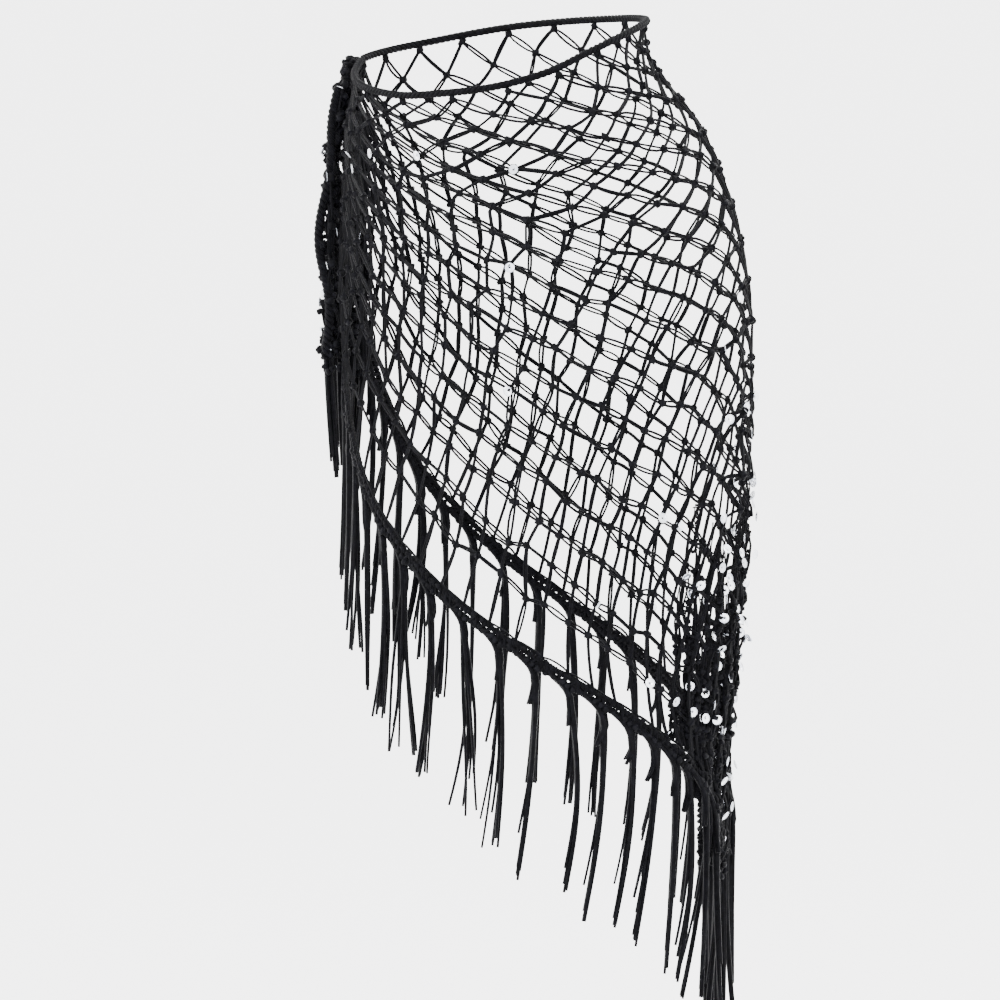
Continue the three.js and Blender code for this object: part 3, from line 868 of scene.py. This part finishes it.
def add_stitches(bag, hem, rng):
    """Stitches to and fro between the edges, most of them the same way up."""
    t = np.linspace(0, 1, STITCH["points"])
    stitches = []
    first, last = STITCH_MARGINS[0], hem[3][-1] - STITCH_MARGINS[1]
    for start in np.arange(first, last, STITCH["apart"]):
        run = start + STITCH["length"] * t + rng.normal(0, STITCH["uneven"])
        way = 1 if rng.random() < STITCHES_UPRIGHT else -1
        swing = STITCH["middle"] + STITCH["half"] * np.cos(np.pi * t) * way
        stitches.append(along_hem(hem, run, swing, STITCH_OUT * np.sin(np.pi * t)))
        back = STITCH_BACK["width"] - swing
        behind = STITCH_BACK["behind"] * np.sin(np.pi * t)
        stitches.append(along_hem(hem, run + STITCH_BACK["shift"], back, behind))
    tubes(bag, np.array(stitches), rng.uniform(*STITCH_YARN, (len(stitches), 1)), closed_ends=True)


def add_border_lumps(bag, hem, rng):
    """The tops of stitches along both edges, those of one edge between those of the other."""
    margin = BORDER_LUMPS["margin"]
    inner = np.arange(margin, hem[3][-1] - margin, BORDER_LUMPS["apart"])
    spots = np.concatenate([inner, inner + BORDER_LUMPS["apart"] / 2])
    many = len(spots)
    off_by = np.repeat(BORDER_LUMPS["off"], len(inner)) + rng.normal(0, BORDER_LUMPS["stray"], many)
    centres = along_hem(hem, spots, off_by, rng.normal(*BORDER_LUMPS["out"], many))
    on_hem = along_hem(hem, spots)
    out = unit(along_hem(hem, spots, 0.0, 1.0) - on_hem)
    forth = unit(along_hem(hem, spots + 1) - on_hem)
    axes = np.stack([forth, out, np.cross(forth, out)], axis=1)
    half_sizes = np.empty((many, 3))
    half_sizes[:, 0] = rng.uniform(*BORDER_LUMP["long"], many)
    half_sizes[:, 1:] = BORDER_LUMP["wide"], BORDER_LUMP["deep"]
    lumps(bag, centres, half_sizes, rng, axes)


def make_border(side, name, materials, rng):
    """Two thick crocheted edges with stitches between them, which leave small eyelets."""
    hem = hem_line(side, np.linspace(0.0, BORDER_REACH, BORDER_POINTS))
    bag = Bag()
    add_border_edges(bag, hem)
    add_stitches(bag, hem, rng)
    add_border_lumps(bag, hem, rng)
    return bag.build(name, materials)


# ---------------- tassels

# A hanging yarn: how many end early and where, how it drifts, and how the tassel narrows
YARN_ENDS = {"early_share": 0.2, "early": (0.72, 0.88), "full": (0.93, 1.0)}
YARN_DRIFT = {"size": 1.0, "turns": (0.8, 1.8), "least": 0.3, "if_spread": 0.12}
YARN_SPIN = {"rate": 1.6, "twist": (0.6, 0.3)}
NARROWS = {"top": 0.3, "top_over": 0.3, "low": 0.35, "low_from": 0.5}
TOP_GIRTH = {"share": 0.8, "start": 0.6, "upright": 0.8}
LEAST_SPREAD = 0.1
SPLAY_POWER = 1.6
SWING_POWER = 1.5


def hang(bag, start, length, count, girth, splay, rng, swing=STRAIGHT, bow=STRAIGHT, points=15, thicker=1.0):
    """Thick yarns that follow the path start (k, 3), then fall."""
    lead = len(start)
    t = np.linspace(0, 1, points)[1:]
    turn = rng.uniform(0, 2 * np.pi, count)[:, None]
    wide = np.sqrt(rng.uniform(LEAST_SPREAD, 1, count))[:, None]
    early = rng.random(count) < YARN_ENDS["early_share"]
    ends = np.where(early, rng.uniform(*YARN_ENDS["early"], count), rng.uniform(*YARN_ENDS["full"], count))
    fall = length * ends
    narrow_top = 1 - NARROWS["top"] * ramp(0, NARROWS["top_over"], t)
    narrow_low = 1 - NARROWS["low"] * ramp(NARROWS["low_from"], 1, t)
    spread = girth * narrow_top * narrow_low + splay * t**SPLAY_POWER
    spin = turn + YARN_SPIN["rate"] * t * rng.normal(*YARN_SPIN["twist"], (count, 1))
    drift = rng.normal(0, YARN_DRIFT["size"], (count, 1))
    drift = drift * np.sin(np.pi * t * rng.uniform(*YARN_DRIFT["turns"], (count, 1)))
    drift = drift * (YARN_DRIFT["least"] + splay * YARN_DRIFT["if_spread"])
    x = wide * spread * np.cos(spin) + drift
    y = wide * spread * np.sin(spin)
    down = np.stack([x, y, -fall[:, None] * t], axis=-1)
    swung = swing[:2] * (t**SWING_POWER)[None, :, None]
    down[..., :2] += swung + bow[:2] * np.sin(np.pi * t)[None, :, None]
    hung = start[-1] + down
    round_top = np.stack([np.cos(turn), np.sin(turn), TOP_GIRTH["upright"] * np.sin(turn * 2)], axis=-1)
    widens = np.linspace(TOP_GIRTH["start"], 1, lead)[None, :, None]
    first = start[None] + TOP_GIRTH["share"] * girth * wide[..., None] * round_top * widens
    paths = np.concatenate([first, hung], axis=1)
    taper = np.concatenate([np.full(lead, 1.0), 1 - TASSEL_YARN["thinner_below"] * t])
    radii = TASSEL_YARN["radius"] * taper[None] * rng.uniform(*TASSEL_YARN["uneven"], (count, 1))
    tubes(bag, paths, radii * thicker, closed_ends=True)


def curve_between(a, b, c, d, count=6):
    """Points on a smooth curve from a to d, which b and c pull on."""
    t = np.linspace(0, 1, count)[:, None]
    return a * (1 - t) ** 3 + 3 * b * t * (1 - t) ** 2 + 3 * c * t**2 * (1 - t) + d * t**3


def arch(hem, at):
    """The way of a tassel's yarns along the border and down, which leaves round arches."""
    lead = min(ARCH["lead"], hem[3][-1] - at - 1)
    a = along_hem(hem, at + lead, ARCH["from"])
    b = along_hem(hem, at + lead * ARCH["turns"], ARCH["off"], ARCH["out"])
    d = along_hem(hem, at, ARCH["off"], ARCH["out"]) - UP * ARCH["drop"]
    return curve_between(a, b, d + UP * ARCH["over"], d)


def add_tassel(bag, hem, at, loose, rng):
    """One tassel of the fringe, with a collar of short yarns and a knot at its head."""
    start = arch(hem, at)
    splay = SPREAD["least"] + loose * rng.uniform(0, SPREAD["most"]) * (rng.random() < SPREAD["share"])
    along = along_hem(hem, at + 1) - along_hem(hem, at)
    along[2] = 0
    along = unit(along)
    lean = TASSEL_LEAN["usual"] - TASSEL_LEAN["less_if_spread"] * loose
    swing = along * rng.normal(lean, TASSEL_LEAN["uneven"])
    bow = along * rng.normal(*TASSEL_BOW)
    length = TASSEL_LENGTH * rng.uniform(*TASSEL["length"]) - ARCH["drop"]
    count = int(rng.integers(*TASSEL["yarns"]))
    hang(bag, start, length, count, TASSEL["girth"], splay, rng, swing, bow)
    hang(bag, start[1:], **COLLAR, rng=rng, swing=swing * COLLAR_SWING)
    head = along_hem(hem, at + np.array(TASSEL_HEAD["along"]), np.array(TASSEL_HEAD["off"]), np.ones(3))
    lumps(bag, head, rng.uniform(*TASSEL_HEAD["half_sizes"], (3, 3)), rng)


def make_tassels(side, name, materials, rng):
    """The fringe of one border, past the tassels inside the gathered corner."""
    fine = np.linspace(0, HEM_REACH, HEM_POINTS)
    hem = hem_line(side, fine)
    spread = SPREAD_REACH
    bag = Bag()
    for reach in np.arange(FIRST_TASSEL, LAST_TASSEL[side], TASSEL_SPACING / HEM_CELLS):
        loose = ramp(spread["starts"], spread["full"], reach) * ramp(spread["gone"], spread["fades"], reach)
        add_tassel(bag, hem, float(np.interp(reach, fine, hem[3])), loose, rng)
    return bag.build(name, materials)


def make_point_tassels(name, materials, rng):
    """Thick tassels at the third corner, under a rounded cluster of stitches."""
    bag = Bag()
    out = outward(POINT_ANGLE, POINT["face_height"])
    across = unit(np.cross(out, UP))
    top = place(POINT_ANGLE, POINT["height"], NET_OUT)
    for shift, girth, count in POINT_TASSELS:
        begin = top + across * shift * POINT_START["nearer"] + out * rng.normal(0, POINT_STRAY["top"])
        ends = top + across * shift + out * rng.normal(0, POINT_STRAY["end"]) - UP * POINT["drop"]
        early = begin + (ends - begin) * POINT_START["early"]
        start = curve_between(begin, early, ends + UP * POINT_START["over"], ends)
        swing = across * rng.normal(0, POINT_STRAY["swing"])
        bow = across * rng.normal(0, POINT_STRAY["bow"])
        hang(bag, start, count=count, girth=girth, rng=rng, swing=swing, bow=bow, **POINT_YARNS)
    many = CLUSTER["count"]
    spots = unit(rng.normal(0, 1, (many, 3))) * rng.uniform(CLUSTER_FROM, 1, (many, 1))
    centres = top - UP * CLUSTER["down"] + across * spots[:, :1] * CLUSTER["across"]
    centres = centres + out * spots[:, 1:2] * CLUSTER["out"] + UP * spots[:, 2:] * CLUSTER["up"]
    lumps(bag, centres, rng.uniform(*CLUSTER["half_sizes"], (many, 3)), rng)
    return bag.build(name, materials)


# ---------------- knot and corners

def make_knot(name, materials, rng):
    """The two gathered corners pulled through each other, round the cord."""
    centre, out, across = knot_frame()
    centre = centre - KNOT_ON_CORD * out
    bag = Bag()
    t = np.linspace(0, 2 * np.pi, KNOT_SHAPE["points"])
    paths = []
    for turn in range(KNOT_TURNS["count"]):
        tilt = rng.normal(*KNOT_TURNS["tilt"]) * (1 if turn % 2 else -1)
        level = rng.uniform(*KNOT_TURNS["levels"])
        shrink = math.sqrt(1 - level**2) * rng.uniform(*KNOT_TURNS["tight"])
        shrink = shrink * (1 - KNOT_SHAPE["narrower_above"] * max(level, 0))
        reach_up = min(abs(tilt), KNOT_SHAPE["tilt_limit"] - abs(level)) * np.sign(tilt)
        ring = (
            np.cos(t)[:, None] * out * KNOT["half_depth"] * shrink
            + np.sin(t)[:, None] * across * KNOT["half_width"] * shrink
            + (level + reach_up * np.sin(t))[:, None] * UP * KNOT["half_height"]
        )
        paths.append(centre + ring)
    tubes(bag, np.array(paths), KNOT_SHAPE["yarn"])
    core = np.array([[KNOT["half_height"], KNOT["half_depth"], KNOT["half_width"]]]) * KNOT_SHAPE["core"]
    lumps(bag, centre[None], core, rng, np.stack([UP, out, across])[None])
    many = KNOT_LUMPS["count"]
    spots = unit(rng.normal(0, 1, (many, 3)))
    sizes = np.array([KNOT["half_depth"], KNOT["half_width"], KNOT["half_height"]])
    centres = centre + (spots * sizes) @ np.stack([out, across, UP])
    lumps(bag, centres, rng.uniform(*KNOT_LUMPS["half_sizes"], (many, 3)), rng)
    return bag.build(name, materials)


def tail_point(side, across, along, lift=0.0):
    """Points on a pleated corner that hangs from the knot."""
    along = np.asarray(along, float)
    height = TAIL["top"] + (TAIL["bottom"] - TAIL["top"]) * along
    width = read(TAIL_SHAPE, 1, along)
    pleat = read(TAIL_SHAPE, 2, along)
    spread = TAIL["top_spread"] + (TAIL["spread"] - TAIL["top_spread"]) * ramp(*TAIL_SPREADS, height)
    angle = KNOT_ANGLE + side * spread
    middle = place(angle, height, TAIL["out"])
    out = unit(place(angle, height, TAIL["out"] + 1) - middle)
    sideways = np.stack([-out[..., 1], out[..., 0], np.zeros_like(out[..., 0])], axis=-1)
    wave = pleat * np.sin(2 * np.pi * TAIL["pleats"] * across + side) + lift
    return middle + sideways * (width * (across - 0.5))[..., None] + out * wave[..., None]


class CornerNet(HalfNet):
    """A tied corner's cells, squeezed into pleats."""

    columns, rows = 6, 8

    def __init__(self, side, rng):
        self.side = side
        self.rng = rng
        grid = [(row, cell) for row in range(self.rows) for cell in range(self.columns)]
        many = len(grid)
        self.index = {key: n for n, key in enumerate(grid)}
        self.row, self.cell = np.array(grid).T
        row_stray = rng.normal(0, CORNER_STRAY["row"], many)
        self.row_at = self.row + row_stray + CORNER_STRAY["columns_step"] * (self.cell % 2)
        self.cell_at = self.cell + rng.normal(0, CORNER_STRAY["cell"], many)
        depth = rng.normal(CORNER_DEPTH["middle"], CORNER_DEPTH["uneven"], many)
        self.depth = np.clip(depth, CORNER_DEPTH["deepest"], CORNER_DEPTH["highest"])
        self.at = self.point(self.cell_at, self.row_at, self.depth)
        self.out = unit(self.point(self.cell_at, self.row_at, self.depth + 1) - self.at)

    def point(self, cell, row, lift):
        past = CORNER_STRAY["past_edge"]
        across = np.clip(cell / (self.columns - 1), -past, 1 + past)
        along = np.clip(row / (self.rows - 0.5), 0, 1)
        return tail_point(self.side, across, along, lift * ramp(*CORNER_FLAT_TOP, along))

    def links(self):
        """Pairs of neighbouring mesh knots, across and down."""
        found = []
        for (row, cell), n in self.index.items():
            for other in ((row, cell + 1), (row + 1, cell)):
                if other in self.index:
                    found.append((n, self.index[other]))
        return np.array(found)

    def thread_paths(self, pairs):
        t = np.linspace(0, 1, THREAD["points"])[None, :]

        def mix(v):
            return v[pairs[:, 0]][:, None] * (1 - t) + v[pairs[:, 1]][:, None] * t

        sag = CORNER_SAG * np.sin(np.pi * t) * self.rng.normal(0, 1, (len(pairs), 1))
        cell, row, depth = mix(self.cell_at), mix(self.row_at), mix(self.depth) + sag
        middle = self.point(cell, row, depth)
        along = unit(np.gradient(middle, axis=1))
        out = unit(self.point(cell, row, depth + 1) - middle + NUDGE)
        return middle, unit(np.cross(out, along)), out, t


def make_corner(side, name, materials, rng):
    bag = Bag()
    corner = CornerNet(side, rng)
    add_threads(bag, corner, corner.links(), **CORNER_THREADS)
    lumps(bag, corner.at, rng.uniform(*CORNER_LUMPS, (len(corner.at), 3)), rng)
    return bag.build(name, materials), corner


def lay_in_corner(bag, side, across, along, lift, cord):
    """A cord laid along a path inside the bundle."""
    centre = tail_point(side, across, along, lift)
    out = unit(tail_point(side, across, along, lift + 1) - centre)
    path = unit(np.gradient(centre, axis=0))
    twisted(bag, centre, unit(np.cross(path, out)), out, cord)


def add_cord_ends(bag, side):
    """The cord's two ends, which wind down the corner, and the border's, down its edge."""
    t = np.linspace(0, 1, CORD_PATH["points"])
    for turns, phase, deep in CORD_ENDS:
        phase = phase + side
        across = 0.5 + CORD_PATH["across"] * np.sin(2 * np.pi * turns * t + phase)
        depth = deep * np.cos(2 * np.pi * CORD_PATH["depth_turns"] * t + phase)
        lay_in_corner(bag, side, across, CORD_PATH["along"] * t, depth, CORD_END)
    wave = EDGE_PATH["wave"] * np.sin(EDGE_PATH["wave_turns"] * t)
    across = 0.5 + side * (EDGE_PATH["across"] + wave)
    lift = EDGE_PATH["out"] + EDGE_PATH["out"] * np.sin(EDGE_PATH["out_turns"] * t)
    lay_in_corner(bag, side, across, EDGE_PATH["along"] * t, lift, BORDER_END)


def make_corner_trim(side, name, materials, rng):
    """The cord's and the border's ends, crumpled into the hanging corner, and its tassels."""
    bag = Bag()
    add_cord_ends(bag, side)
    many = TRIM_LUMPS["count"]
    depth = rng.normal(TRIM_LUMPS["middle"], TRIM_LUMPS["uneven"], many)
    depth = np.clip(depth, TRIM_LUMPS["deepest"], TRIM_LUMPS["highest"])
    across = rng.uniform(*TRIM_LUMP_PLACE["across"], many)
    along = rng.uniform(0, 1, many) ** TRIM_LUMPS["higher_up"]
    spots = tail_point(side, across, along, depth)
    lumps(bag, spots, rng.uniform(*TRIM_LUMP_PLACE["half_sizes"], (many, 3)), rng)
    meet = place(KNOT_ANGLE, CORNER_TASSELS_MEET["height"], TAIL["out"])
    for along, across, length in CORNER_TASSELS:
        top = tail_point(side, np.array(across), np.array(along))
        below = top - UP * CORNER_TASSEL_TOP["drop"]
        start = curve_between(top, top, below, below, CORNER_TASSEL_TOP["points"])
        swing = (meet - top) * CORNER_TASSELS_MEET["share"]
        splay = rng.uniform(*CORNER_SPLAY)
        hang(bag, start, length, splay=splay, rng=rng, swing=swing, **CORNER_TASSEL)
    return bag.build(name, materials)


# ---------------- sequins

def sequin_disc(bag, at, face, slot, rng):
    """A cupped disc with a small hole, hung from a mesh knot."""
    around = SEQUIN_HANG["around"]
    turn = 2 * np.pi * np.arange(around) / around
    tilt = unit(face + rng.normal(0, SEQUIN_HANG["tilt"], 3))
    side = unit(np.cross(tilt, rng.normal(0, 1, 3)))
    other = np.cross(tilt, side)
    centre = at + face * SEQUIN_HANG["out"] + rng.normal(0, SEQUIN_HANG["stray"], 3)
    loop = np.cos(turn)[:, None] * side + np.sin(turn)[:, None] * other
    points = np.concatenate([centre + loop * radius + tilt * depth for radius, depth in SEQUIN_PROFILE])
    k, ring = np.meshgrid(np.arange(around), np.arange(len(SEQUIN_PROFILE)))
    low, high, after = ring * around, (ring + 1) % len(SEQUIN_PROFILE) * around, (k + 1) % around
    faces = np.stack([low + k, low + after, high + after, high + k], axis=-1)
    bag.add(points, faces.reshape(-1, 4), None, slot)


def net_odds(net):
    """The chance of a sequin at each mesh knot of the net."""
    count = cells_in_row(net.row)
    near_knot = (net.cell / np.maximum(count, 1) > NEAR_KNOT["reach"]) & (net.row < NEAR_KNOT["rows"])
    falls = (net.away < IN_FALLS["degrees"]) & (net.row < IN_FALLS["rows"])
    elsewhere = np.where(falls, SEQUIN_ODDS["falls"], SEQUIN_ODDS["elsewhere"])
    inner = (net.row > 0) & (net.cell < count)
    return inner * np.where(near_knot, SEQUIN_ODDS["near_knot"], elsewhere)


def corner_odds(net):
    return np.full(len(net.at), SEQUIN_ODDS["corner"])


def make_sequins(groups, falls_at, falls_out, materials, rng):
    """Clear and silver sequins over the net: a few in front, many where it is gathered."""
    bag = Bag()
    for net, odds, shown in groups:
        picked = np.nonzero(rng.random(len(net.at)) < odds(net))[0]
        named = [net.index[key] for key in shown]
        for n in sorted(set(picked) | set(named)):
            slot = SILVER if rng.random() < SILVER_SHARE else CLEAR
            sequin_disc(bag, net.at[n], net.out[n], slot, rng)
    for at, out in zip(falls_at, falls_out):
        sequin_disc(bag, at, out, SILVER, rng)
    return bag.build("sequins", materials)


# ---------------- camera, light and floor

def make_camera():
    azimuth, elevation = math.radians(CAMERA["azimuth"]), math.radians(CAMERA["elevation"])
    back = Vector((
        math.sin(azimuth) * math.cos(elevation),
        -math.cos(azimuth) * math.cos(elevation),
        math.sin(elevation),
    ))
    camera = bpy.data.objects.new("camera", bpy.data.cameras.new("camera"))
    camera.data.sensor_width = SENSOR
    camera.data.lens = SENSOR * CAMERA["distance"] / VIEW_WIDTH
    camera.data.clip_end = FAR_CLIP
    camera.location = Vector(CAMERA["target"]) + back * CAMERA["distance"]
    camera.rotation_euler = (-back).to_track_quat("-Z", "Y").to_euler()
    bpy.context.collection.objects.link(camera)
    bpy.context.scene.camera = camera


def make_floor():
    bpy.ops.mesh.primitive_plane_add(size=FLOOR["size"], location=(0, 0, FLOOR["height"]))
    floor = bpy.context.object
    floor.name = "floor"
    material, tree, shader = new_material("pale_floor")
    tones = [(position, tone) for position, tone in enumerate(FLOOR_TONES)]
    grain = wandering_tone(tree, "Generated", FLOOR["grain"], *tones)
    tree.links.new(grain, shader.inputs["Base Color"])
    shader.inputs["Roughness"].default_value = FLOOR["roughness"]
    floor.data.materials.append(material)


def area_light(name, place_at, size, power):
    light = bpy.data.objects.new(name, bpy.data.lights.new(name, "AREA"))
    light.data.energy = power
    light.data.size = size
    light.location = place_at
    towards = Vector(LIGHT_TARGET) - Vector(place_at)
    light.rotation_euler = towards.to_track_quat("-Z", "Y").to_euler()
    bpy.context.collection.objects.link(light)


def make_lights():
    world = bpy.data.worlds.new("studio")
    bpy.context.scene.world = world
    world.use_nodes = True
    background = world.node_tree.nodes["Background"]
    background.inputs["Color"].default_value = (1, 1, 1, 1)
    background.inputs["Strength"].default_value = WORLD_LIGHT
    for light in LIGHTS:
        area_light(*light)


# ---------------- the object

def main():
    make_camera()
    make_floor()
    make_lights()
    yarns = {name: [yarn_material(name, **look)] for name, look in YARNS.items()}
    net_yarn, cord_yarn, tassel_yarn = yarns["net_yarn"], yarns["cord_yarn"], yarns["tassel_yarn"]
    sequin_looks = [sequin_material(name, **look) for name, look in SEQUINS.items()]

    made = {}
    nets = {}
    corners = {}
    for side, word, seed in ((1, "front", 11), (-1, "back", 12)):
        rng = np.random.default_rng(seed)
        made[f"net_{word}"], nets[word] = make_net(side, f"net_mesh_{word}", net_yarn, rng)
        made[f"waist_cord_{word}"] = make_waist_cord(side, f"waist_cord_yarn_{word}", cord_yarn)
        made[f"border_{word}"] = make_border(side, f"border_plait_{word}", cord_yarn, rng)
        made[f"fringe_{word}"] = make_tassels(side, f"tassels_{word}", tassel_yarn, rng)
        corner, corners[word] = make_corner(side, f"corner_net_{word}", net_yarn, rng)
        made[f"tied_corner_{word}"] = corner
        made[f"corner_fringe_{word}"] = make_corner_trim(side, f"corner_trim_{word}", tassel_yarn, rng)
    rng = np.random.default_rng(13)
    made["knot"] = make_knot("knot_yarn", net_yarn, rng)
    made["fringe_point"] = make_point_tassels("tassels_point", tassel_yarn, rng)
    falls, falls_at, falls_out = make_falls("net_falls", net_yarn, rng)
    groups = [
        (nets["front"], net_odds, FRONT_SEQUINS),
        (nets["back"], net_odds, []),
        (corners["front"], corner_odds, []),
        (corners["back"], corner_odds, []),
    ]
    sequins = make_sequins(groups, falls_at, falls_out, sequin_looks, rng)
    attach(falls, "root")
    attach(sequins, "root")

    for node, piece in made.items():
        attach(piece, "root")
        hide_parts(node)


main()
